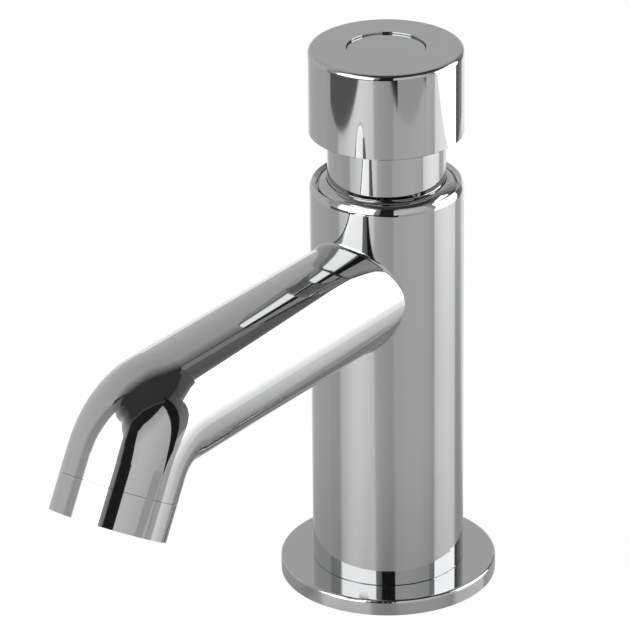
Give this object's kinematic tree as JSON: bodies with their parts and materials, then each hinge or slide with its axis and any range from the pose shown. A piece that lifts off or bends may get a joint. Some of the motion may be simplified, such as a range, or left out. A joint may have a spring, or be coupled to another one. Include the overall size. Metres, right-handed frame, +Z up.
{
  "type": "push timed tap",
  "caption": "Deck-mounted self-closing basin tap with a round pillar body, a push button on top, a level spout turned down at its end and a threaded tail below the deck.",
  "frame": {"origin": "on the body's axis in the plane of the base flange's underside, which is the top of the deck", "axes": "+Z up along the body and the push button, -Y along the spout towards the outlet, +X to the right as seen by someone who stands before the spout and faces the body"},
  "size_m": [0.06, 0.1694, 0.2067],
  "materials": {
    "polished_chrome": "mirror polished plating",
    "raw_brass": "machined, unplated",
    "stainless_steel": "fine machined",
    "black_rubber": "matt moulded",
    "pale_plastic": "moulded, slightly waxy"
  },
  "bodies": {
    "root": {"tap_body": "polished_chrome", "base_flange": "polished_chrome", "retaining_collar": "polished_chrome", "outlet_nozzle": "polished_chrome", "threaded_tail": "raw_brass", "cartridge_bonnet": "raw_brass", "back_nut": "raw_brass", "clamp_washer": "stainless_steel", "valve_seat": "stainless_steel", "return_spring": "stainless_steel", "inlet_strainer": "stainless_steel", "aerator_screen": "stainless_steel", "deck_seal": "black_rubber", "flange_oring": "black_rubber", "tail_oring": "black_rubber", "deck_washer": "black_rubber", "cartridge_oring": "black_rubber", "bonnet_oring": "black_rubber", "spindle_orings": "black_rubber", "aerator_washer": "black_rubber", "cartridge_body": "pale_plastic", "spring_seat": "pale_plastic", "slip_washer": "pale_plastic", "guide_bush": "pale_plastic", "aerator_body": "pale_plastic", "flow_regulator": "pale_plastic"},
    "plunger": {"spindle": "stainless_steel", "valve_disc": "black_rubber", "valve_holder": "raw_brass", "valve_nut": "stainless_steel", "timing_piston": "pale_plastic", "lip_seal": "black_rubber", "piston_circlip": "stainless_steel", "metering_pin": "stainless_steel", "cap_screw": "stainless_steel"},
    "button": {"push_cap": "polished_chrome", "push_sleeve": "polished_chrome", "index_disc": "polished_chrome"}
  },
  "joints": [
    {"name": "push_travel", "type": "slide", "parent": "root", "child": "plunger", "axis": [0, 0, -1], "range_m": [0, 0.008], "stiffness_N_per_m": 1500, "springref_m": -0.015, "deforming": ["return_spring"]},
    {"name": "button_spin", "type": "hinge", "parent": "plunger", "child": "button", "pos_m": [0, 0, 0.144], "axis": [0, 0, 1], "continuous": true}
  ]
}
